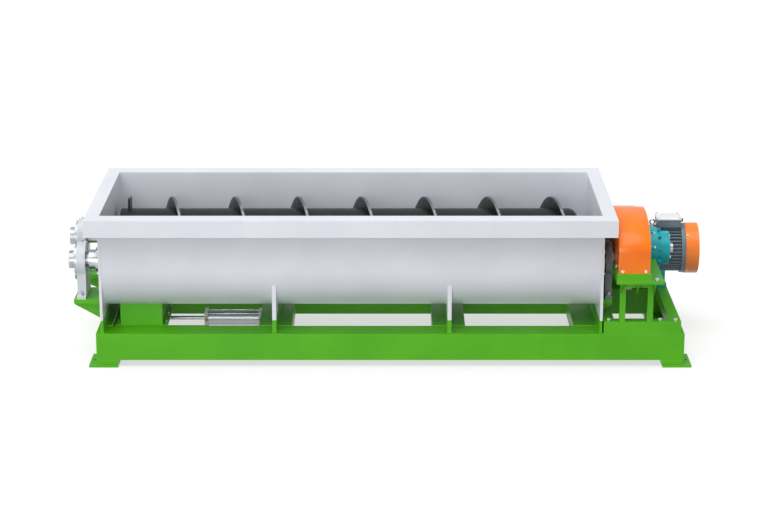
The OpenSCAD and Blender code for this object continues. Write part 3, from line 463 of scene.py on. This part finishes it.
# Bolts and nuts: forged hexagon heads on washers, bright zinc plated. Zinc is
# a slightly blue metal, cloudy where the passivation is thicker.
def zinc_plate(name):
    """Bright zinc plating: pale blue-grey metal with a cloudy gloss."""
    made, tree, shader = new_material(name)
    place = add_node(tree, "ShaderNodeTexCoord").outputs["Object"]
    cloud = noise(tree, place, 90.0, 3.0)
    feed(tree, shader, {"Base Color": two_tones(tree, cloud, "BFC4CC", "DADDE2", 0.35, 0.65),
                        "Metallic": 1.0, "Roughness": spread(tree, cloud, 0.3, 0.7, 0.2, 0.36)})
    return made


zinc = zinc_plate("bright_zinc_plated_steel")


def pick_top(piece):
    """Opens a piece in edit mode with only its upward faces picked."""
    bpy.ops.object.mode_set(mode="EDIT")
    bpy.ops.mesh.select_all(action="DESELECT")
    bpy.ops.object.mode_set(mode="OBJECT")
    for face in piece.data.polygons:
        face.select = face.normal.z > 0.9
    bpy.ops.object.mode_set(mode="EDIT")


def hex_bolt(across, height, washer, tip=0.0):
    """A hexagon head with a chamfered crown on a round washer, and a screw end above it if tip is given."""
    head = cylinder(6, across / math.sqrt(3), height, (0, 0, washer + height / 2))
    pick_top(head)
    bpy.ops.mesh.bevel(offset=height * 0.16, segments=2, affect="EDGES")
    bpy.ops.mesh.inset(thickness=across * 0.05)
    bpy.ops.object.mode_set(mode="OBJECT")
    ring = cylinder(28, across * 0.62, washer, (0, 0, washer / 2))
    rounded(ring, washer * 0.3, 1)
    parts = [head, ring]
    if tip > 0:
        end = cylinder(16, across * 0.31, tip, (0, 0, washer + height + tip / 2))
        rounded(end, tip * 0.25, 2)
        parts.append(end)
    return joined(parts)


def set_of(first, seats):
    """Copies of a fastener on its seats, each given as a place and the way that it points, made one piece."""
    made = []
    for place, way in seats:
        only(first)
        bpy.ops.object.duplicate()
        copy = bpy.context.object
        copy.location = place
        copy.rotation_euler = Vector(way).to_track_quat("Z", "Y").to_euler()
        made.append(copy)
    only(first)
    bpy.ops.object.delete()
    return joined(made)


def bolt_circle(x, y, z, radius, turns, way):
    """Seats on a circle round an axis along X, at the given degrees from Y, all pointing one way."""
    return [((x, y + radius * math.cos(math.radians(turn)), z + radius * math.sin(math.radians(turn))), way)
            for turn in turns]


# the feet's thickness and bolts, and the flanges and bolt circles of the caps and the glands
quarters = (45, 135, 225, 315)
foot_thick, foot_bolt_y = 0.022, 0.108
cap_flange, cap_circle = 0.012, 0.083
gland_flange, gland_circle = 0.018, 0.0965
pillow_seats, cap_seats, nut_seats = [], [], []
for end in ("left", "right"):
    for row, y in (("near", -axis_y), ("far", axis_y)):
        low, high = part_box(f"{row}_housing_{end}")
        for side in (-1, 1):
            pillow_seats.append((((low[0] + high[0]) / 2, y + side * foot_bolt_y, low[2] + foot_thick),
                                 (0, 0, 1)))
        # only the left units, at the shafts' free ends, have caps
        if end == "left":
            cap_seats += bolt_circle(low[0] - cap_flange, y, axis_z, cap_circle, quarters, (-1, 0, 0))
pillow_bolts = set_of(hex_bolt(0.024, 0.012, 0.003, tip=0.008), pillow_seats)
cap_bolts = set_of(hex_bolt(0.018, 0.008, 0.002, tip=0.004), cap_seats)
bearing_bolts = keep(joined([pillow_bolts, cap_bolts]), "bearing_hexagon_bolts", zinc, "machine")
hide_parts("bearing_bolts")
for y in (-axis_y, axis_y):
    nut_seats += bolt_circle(left_plate[0][0] - gland_flange, y, axis_z, gland_circle, quarters, (-1, 0, 0))
    nut_seats += bolt_circle(right_plate[1][0] + gland_flange, y, axis_z, gland_circle, quarters, (1, 0, 0))
gland_nuts = keep(set_of(hex_bolt(0.0225, 0.0085, 0.002, tip=0.009), nut_seats), "gland_stud_nuts", zinc,
                  "machine")
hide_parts("gland_nuts")


# Grease nipples: one on the crown of each bearing housing, a small hexagon of
# turned steel with a round end, zinc plated and screwed into the casting.
nipple_seats = []
for name in ("near_housing_left", "far_housing_left", "near_housing_right", "far_housing_right"):
    low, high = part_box(name)
    nipple_seats.append((((low[0] + high[0]) / 2, (low[1] + high[1]) / 2, high[2] - 0.001), (0, 0, 1)))
keep(set_of(hex_bolt(0.011, 0.006, 0.0015, tip=0.01), nipple_seats), "grease_nipples", zinc, "machine")


# Bearing brackets: a shelf of 25 mm plate on two gussets under each bearing,
# painted green and welded to the trough's end plate (the left ones' welds show).
dress(green, "bearing_brackets")
shelf_half, shelf_under, shelf_top, gusset_foot = 0.13, 0.357, 0.382, 0.248
gusset_faces = (-0.106, -0.094, 0.094, 0.106)
shelf_leg, gusset_leg = 0.004, 0.0035
wall_x = left_plate[0][0]
bracket_welds = []
for middle in (-axis_y, axis_y):
    edges = (middle - shelf_half, middle + shelf_half)
    for y in edges:
        bracket_welds.append(bead((wall_x, y, shelf_under), (wall_x, y, shelf_top), shelf_leg))
    bracket_welds.append(bead((wall_x, edges[0], shelf_top), (wall_x, edges[1], shelf_top), shelf_leg))
    for y in (middle + face for face in gusset_faces):
        bracket_welds.append(bead((wall_x, y, gusset_foot), (wall_x, y, shelf_under), gusset_leg))
keep(joined(bracket_welds), "bracket_weld_beads", green, "machine")


# Gears: forged steel, hobbed teeth and a turned web with lightening holes,
# running in grease inside the guard, so the steel is dark and wet.
greased = turned_steel("hobbed_gear_steel_greased", "8C8B86", "5E5B52", 0.26, ring=0.004)
dress(greased, "near_gear", "far_gear", "drive_pinion")


# Discharge: a welded chute with a bolted flange, and a steel gate that a
# pneumatic cylinder draws along two guides. Product scours the gate bright.
dress(green, "discharge_chute", "gate_guides")
scoured = turned_steel("scoured_steel_plate", "A5A6A6", "83817C", 0.38, ring=0.05)
dress(scoured, "discharge_gate")


def extruded_aluminium(name):
    """Clear anodised extrusion: pale matt metal with fine draw lines along X, 2 mm apart."""
    made, tree, shader = new_material(name)
    place = add_node(tree, "ShaderNodeTexCoord").outputs["Object"]
    drawn = add_node(tree, "ShaderNodeMapping", {"Vector": place, "Scale": (3, 500, 500)})
    lines = noise(tree, drawn.outputs[0], 1.0, 2.0)
    feed(tree, shader, {"Base Color": two_tones(tree, lines, "B4B7BB", "CFD2D5"), "Metallic": 0.9,
                        "Roughness": 0.4, "Normal": bumps(tree, lines, 0.15, 0.0005)})
    return made


aluminium = extruded_aluminium("clear_anodised_aluminium")
dress(aluminium, "gate_cylinder")
# ten bolts hold the chute's flange, five along each end
chute_low, chute_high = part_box("discharge_chute")
flange_z, flange_in, flange_pitch = chute_low[2] + 0.008, 0.016, 0.155
flange_seats = [((x, k * flange_pitch, flange_z), (0, 0, 1))
                for x in (chute_low[0] + flange_in, chute_high[0] - flange_in) for k in (-2, -1, 0, 1, 2)]
keep(set_of(hex_bolt(0.016, 0.007, 0.0018, tip=0.004), flange_seats), "chute_flange_bolts", zinc, "machine")
# four tie rods run between the cylinder's heads, and each head has an air fitting on its front
barrel_low, barrel_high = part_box("gate_cylinder")
barrel_z = (barrel_low[2] + barrel_high[2]) / 2
rod_side, rod_in, rod_r, port_in = 0.041, 0.01, 0.0035, 0.011
rods = [bead((barrel_low[0] + rod_in, y, z), (barrel_high[0] - rod_in, y, z), rod_r)
        for y in (-rod_side, rod_side) for z in (barrel_z - rod_side, barrel_z + rod_side)]
keep(joined(rods), "cylinder_tie_rods", zinc, "machine")
brass = turned_steel("turned_brass", "D9B56A", "B98F45", 0.3)
port_seats = [((x, -barrel_high[1], barrel_z), (0, -1, 0))
              for x in (barrel_low[0] + port_in, barrel_high[0] - port_in)]
keep(set_of(hex_bolt(0.017, 0.009, 0.002, tip=0.012), port_seats), "air_port_fittings", brass, "machine")


# Drive stand and sub-base: welded plate, posts and rails in the green enamel
# of the frame, bolted down with plated bolts at their corners.
dress(green, "guard_base", "drive_stand", "sub_base")
# the rails' width, the bolts' distance from the end rail, and the stand's bolts from its corners
sub_low, sub_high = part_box("sub_base")
stand_low, stand_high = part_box("drive_stand")
rail, beside_rail = 0.065, 0.06
corner_x, corner_y = 0.04, 0.03
drive_seats = []
for side in (-1, 1):
    for x in (sub_low[0] + rail / 2, sub_high[0] - rail - beside_rail, sub_high[0] - rail / 2):
        drive_seats.append(((x, side * (sub_high[1] - rail / 2), sub_high[2]), (0, 0, 1)))
    drive_seats.append(((stand_high[0] - corner_x, side * (stand_high[1] - corner_y), stand_high[2]),
                        (0, 0, 1)))
drive_bolts = keep(set_of(hex_bolt(0.024, 0.012, 0.003), drive_seats), "drive_hexagon_bolts", zinc, "machine")
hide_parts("drive_bolts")
# each post is welded at its foot and under the plate, and the sub-base in short runs on the deck
post_w, left_in, right_in = 0.034, 0.030, 0.052
post_ends = ((stand_low[0] + left_in, stand_low[0] + left_in + post_w),
             (stand_high[0] - right_in - post_w, stand_high[0] - right_in))
post_faces, plate_t = (0.50, 0.54), 0.018
run_places, run_half, stand_leg = (-0.4, 0.0, 0.4), 0.05, 0.003
stand_welds = []
for side in (-1, 1):
    for x0, x1 in post_ends:
        for z in (sub_high[2], stand_high[2] - plate_t):
            for y in post_faces:
                stand_welds.append(bead((x0, side * y, z), (x1, side * y, z), stand_leg))
for x in (sub_low[0], sub_high[0]):
    for y in run_places:
        stand_welds.append(bead((x, y - run_half, deck), (x, y + run_half, deck), stand_leg))
keep(joined(stand_welds), "stand_weld_beads", green, "machine")


# Gear guard: 5 mm sheet rolled over a tall hood for the near gear and a low
# round one for the far gear, welded, ground and sprayed in glossy orange
# enamel, and screwed to the green base along its lower edge.
orange = enamel("orange_gloss_enamel", "FB7C03", "F67402", "FFA452", rough=0.26, coat=0.25, patch=0.2)


def cut(piece, tool):
    """One solid taken from another."""
    change = piece.modifiers.new("cut", "BOOLEAN")
    change.object = tool
    change.operation = "DIFFERENCE"
    change.solver = "EXACT"
    only(piece)
    bpy.ops.object.modifier_apply(modifier=change.name)
    only(tool)
    bpy.ops.object.delete()
    only(piece)


# the near roll's half width, foot and rise, and how much of the sheet it takes; the far roll and its foot
guard_low, guard_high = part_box("gear_guard")
near_half, roll_z, roll_rise, near_share = 0.3475, 0.74, 0.172, 0.6
far_r, skirt_z = 0.1925, 0.641
bpy.ops.object.select_all(action="DESELECT")
bpy.ops.mesh.primitive_grid_add(x_subdivisions=1, y_subdivisions=240, size=1, location=(0, 0.5, 0))
hood = bpy.context.object
hood.scale = (guard_high[0] - guard_low[0], 1, 1)
hood.location.x = (guard_low[0] + guard_high[0]) / 2
bpy.ops.object.transform_apply(location=True, rotation=True, scale=True)
# the flat sheet is rolled: over the near gear on an ellipse, then down and over the far gear on an arc
for vertex in hood.data.vertices:
    along = vertex.co.y
    if along <= near_share:
        turn = math.pi * along / near_share
        vertex.co.y = -axis_y - near_half * math.cos(turn)
        vertex.co.z = roll_z + roll_rise * math.sin(turn)
    else:
        far = (along - near_share) / (1 - near_share)
        y = near_half - axis_y + far * (guard_high[1] - near_half + axis_y)
        arc = axis_z + math.sqrt(max(far_r ** 2 - (y - axis_y) ** 2, 0.0))
        vertex.co.y = y
        vertex.co.z = max(arc, roll_z if y < axis_y else skirt_z)
# its edges are drawn straight down to the base, and the sheet is given its thickness
bpy.ops.object.mode_set(mode="EDIT")
bpy.ops.mesh.select_all(action="SELECT")
bpy.ops.mesh.region_to_loop()
bpy.ops.mesh.extrude_edges_move()
bpy.ops.object.mode_set(mode="OBJECT")
for vertex in hood.data.vertices:
    if vertex.select:
        vertex.co.z = guard_low[2]
bpy.ops.object.mode_set(mode="EDIT")
bpy.ops.mesh.select_all(action="SELECT")
bpy.ops.mesh.normals_make_consistent(inside=False)
bpy.ops.object.mode_set(mode="OBJECT")
wall = hood.modifiers.new("wall", "SOLIDIFY")
wall.thickness = 0.005
wall.offset = -1
wall.use_even_offset = True
bpy.ops.object.modifier_apply(modifier=wall.name)
rounded(hood, 0.002, 2)
# two openings let the screws' shafts in, and one the reducer's
screw_opening, reducer_opening, cutter_length = 0.05, 0.035, 0.04
for x, y, radius in ((guard_low[0], -axis_y, screw_opening), (guard_low[0], axis_y, screw_opening),
                     (guard_high[0], 0.0, reducer_opening)):
    cut(hood, cylinder(64, radius, cutter_length, (x, y, axis_z), (0, math.pi / 2, 0)))
keep(hood, "gear_guard_hood", orange, "machine")
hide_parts("gear_guard")
screw_z, screw_in = guard_low[2] + 0.014, 0.025
guard_seats = []
for side in (-1, 1):
    for x in (guard_low[0] + screw_in, guard_high[0] - screw_in):
        guard_seats.append(((x, side * guard_high[1], screw_z), (0, side, 0)))
for y in (-0.5, -0.12, 0.12, 0.5):
    guard_seats.append(((guard_low[0], y, screw_z), (-1, 0, 0)))
    guard_seats.append(((guard_high[0], y, screw_z), (1, 0, 0)))
keep(set_of(hex_bolt(0.016, 0.006, 0.002), guard_seats), "guard_screws", zinc, "machine")


# Gear reducer: two cast iron casing halves bolted together at a lugged joint,
# painted teal, with a breather on top and a level plug in the cover.
teal = cast_enamel("teal_enamel_on_cast_iron", "08AEBB", "069CA8", "54C8D0", 0.34, coat=0.12, depth=0.3)
dress(teal, "reducer_case", "reducer_cover", "motor_pedestal")
# the joint between the halves, the cover's face, the motor's axis, and the lugs on the casing's edge
case_low, case_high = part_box("reducer_case")
joint_x = case_high[0]
cover_face = joint_x + 0.043
motor_y, motor_z = 0.295, 0.513
case_r, lug_r, lug_length = 0.128, 0.0135, 0.034
slope = math.atan2(axis_z - motor_z, motor_y)
lug_places = []
for k in range(5):
    a = math.pi / 2 - slope + k * math.pi / 4
    lug_places.append((case_r * math.cos(a), axis_z + case_r * math.sin(a)))
    b = -math.pi / 2 - slope + k * math.pi / 4
    lug_places.append((motor_y + case_r * math.cos(b), motor_z + case_r * math.sin(b)))
for side in (-1, 1):
    a = side * math.pi / 2 - slope
    lug_places.append((motor_y / 2 + case_r * math.cos(a), (axis_z + motor_z) / 2 + case_r * math.sin(a)))
castings = []
for y, z in lug_places:
    lug = cylinder(24, lug_r, lug_length, (joint_x, y, z), (0, math.pi / 2, 0))
    rounded(lug, 0.002, 2)
    castings.append(lug)
# short ribs stiffen the cover round the rear boss
rib_x, rib_circle, rib_size = cover_face + 0.012, 0.112, (0.026, 0.026, 0.008)
for turn in (90, 130, 170, 210, 250):
    a = math.radians(turn)
    middle = (rib_x, rib_circle * math.cos(a), axis_z + rib_circle * math.sin(a))
    bpy.ops.object.select_all(action="DESELECT")
    bpy.ops.mesh.primitive_cube_add(size=1, location=middle, rotation=(a, 0, 0))
    rib = bpy.context.object
    rib.scale = rib_size
    bpy.ops.object.transform_apply(location=False, rotation=False, scale=True)
    rounded(rib, 0.003, 3)
    castings.append(rib)
keep(joined(castings), "reducer_lugs_and_ribs", teal, "machine")
reducer_seats = [((joint_x + lug_length / 2, y, z), (1, 0, 0)) for y, z in lug_places]
keep(set_of(hex_bolt(0.016, 0.008, 0.002), reducer_seats), "reducer_joint_bolts", zinc, "machine")
# the boss's screws stand round the ring of the seal, where the output shaft's tail comes out
boss_x, boss_circle, seal_r, seal_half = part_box("reducer_cover")[1][0], 0.078, 0.0375, 0.0045
boss_seats = bolt_circle(boss_x, 0, axis_z, boss_circle, range(30, 390, 60), (1, 0, 0))
boss_screws = set_of(hex_bolt(0.015, 0.008, 0.0015), boss_seats)
bpy.ops.object.select_all(action="DESELECT")
bpy.ops.mesh.primitive_torus_add(location=(boss_x, 0, axis_z), rotation=(0, math.pi / 2, 0),
                                 major_radius=seal_r, minor_radius=seal_half, major_segments=48,
                                 minor_segments=10)
keep(joined([boss_screws, bpy.context.object]), "reducer_boss_screws", zinc, "machine")
foot_x, foot_z = case_low[0] + 0.022, stand_high[2] + 0.024
foot_seats = [((foot_x, y, foot_z), (0, 0, 1)) for y in (-0.178, 0.475)]
keep(set_of(hex_bolt(0.024, 0.012, 0.003, tip=0.01), foot_seats), "reducer_foot_bolts", zinc, "machine")
# the breather stands on the casing's sloping top, and the level plug in the cover
plug_seats = [((joint_x + 0.026, 0.075, axis_z + 0.1005), (0, 0.28, 0.96)),
              ((cover_face, 0.215, motor_z + 0.075), (1, 0, 0))]
keep(set_of(hex_bolt(0.022, 0.012, 0.003, tip=0.012), plug_seats), "breather_and_level_plugs", brass,
     "machine")


# Motor: a ribbed cast iron frame in dark grey enamel with a lifting eye, on a
# cradle. Its nylon fan runs under a sheet steel cover in the guard's orange.
motor_grey = cast_enamel("dark_grey_enamel_on_cast_iron", "75838E", "687681", "AEB8C0", 0.4, coat=0.1)
dress(motor_grey, "motor_frame")
dress(orange, "fan_cover")


def moulded_black(name):
    """Glass-filled nylon: near-black and softly matt, with the mould's fine spark texture of 1 mm."""
    made, tree, shader = new_material(name)
    place = add_node(tree, "ShaderNodeTexCoord").outputs["Object"]
    spark = noise(tree, place, 1000.0, 2.0)
    feed(tree, shader, {"Base Color": two_tones(tree, spark, "141516", "26282A"), "Roughness": 0.55,
                        "Normal": bumps(tree, spark, 0.3, 0.0004)})
    return made


black_nylon = moulded_black("glass_filled_nylon")
dress(black_nylon, "motor_fan", "cable_gland")
dress(zinc, "lifting_eye")


# Terminal box: a cast box in the motor's grey under a white pressed lid that
# overhangs it a little, held by four screws over a black gasket.
def solid_box(low, high):
    """A box between two corners, left selected."""
    bpy.ops.object.select_all(action="DESELECT")
    bpy.ops.mesh.primitive_cube_add(size=1, location=[(a + b) / 2 for a, b in zip(low, high)])
    made = bpy.context.object
    made.scale = [b - a for a, b in zip(low, high)]
    bpy.ops.object.transform_apply(location=True, rotation=True, scale=True)
    return made


# heights of the box's top edge, of the gasket and of the lid; the lid overhangs, the gasket stands in
body_top, gasket_z, lid_z = 0.7105, (0.7095, 0.7125), (0.712, 0.722)
overhang, gasket_in = 0.003, 0.001
box_low, box_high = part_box("terminal_box")
box_body = solid_box(box_low, (box_high[0], box_high[1], body_top))
rounded(box_body, 0.006, 3)
keep(box_body, "terminal_box_body", motor_grey, "machine")
gasket = solid_box((box_low[0] + gasket_in, box_low[1] + gasket_in, gasket_z[0]),
                   (box_high[0] - gasket_in, box_high[1] - gasket_in, gasket_z[1]))
rounded(gasket, 0.0008, 2)
keep(gasket, "terminal_box_gasket", black_nylon, "machine")
lid_white = enamel("white_enamel_on_pressed_steel", "E8EBEE", "E1E5E8", "F8FAFC", rough=0.3, patch=0.1)
lid_low = (box_low[0] - overhang, box_low[1] - overhang, lid_z[0])
lid_high = (box_high[0] + overhang, box_high[1] + overhang, lid_z[1])
lid = solid_box(lid_low, lid_high)
# the lid's middle is pressed up inside a flat border
border, press = 0.022, 0.004
pick_top(lid)
bpy.ops.mesh.inset(thickness=border)
bpy.ops.transform.translate(value=(0, 0, press))
bpy.ops.object.mode_set(mode="OBJECT")
rounded(lid, 0.0025, 3, angle=8)
keep(lid, "terminal_box_lid", lid_white, "machine")
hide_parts("terminal_box")
screw_in, screw_z = 0.012, lid_high[2] - 0.0004
lid_seats = [((x, y, screw_z), (0, 0, 1)) for x in (lid_low[0] + screw_in, lid_high[0] - screw_in)
             for y in (lid_low[1] + screw_in, lid_high[1] - screw_in)]
keep(set_of(hex_bolt(0.010, 0.004, 0.001), lid_seats), "terminal_lid_screws", zinc, "machine")


# Motor fasteners: zinc plated, with hexagon heads. Four bolts hold the end
# shield, four small screws the fan cover's rim, and two bolts the cradle.
shield_x, shield_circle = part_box("motor_frame")[0][0] + 0.019, 0.138
shield_seats = bolt_circle(shield_x, motor_y, motor_z, shield_circle, quarters, (1, 0, 0))
keep(set_of(hex_bolt(0.013, 0.007, 0.0015), shield_seats), "end_shield_bolts", zinc, "machine")
fan_low, fan_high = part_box("fan_cover")
fan_x, fan_r = fan_low[0] + 0.012, (fan_high[2] - fan_low[2]) / 2 - 0.0004
fan_seats = []
for turn in quarters:
    a = math.radians(turn)
    fan_seats.append(((fan_x, motor_y + fan_r * math.cos(a), motor_z + fan_r * math.sin(a)),
                      (0, math.cos(a), math.sin(a))))
keep(set_of(hex_bolt(0.008, 0.003, 0.001), fan_seats), "fan_cover_screws", zinc, "machine")
cradle_low, cradle_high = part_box("motor_pedestal")
cradle_x, cradle_z, cradle_in = (cradle_low[0] + cradle_high[0]) / 2, sub_high[2] + 0.016, 0.011
cradle_seats = [((cradle_x, y, cradle_z), (0, 0, 1))
                for y in (cradle_low[1] + cradle_in, cradle_high[1] - cradle_in)]
keep(set_of(hex_bolt(0.014, 0.008, 0.002), cradle_seats), "cradle_bolts", zinc, "machine")
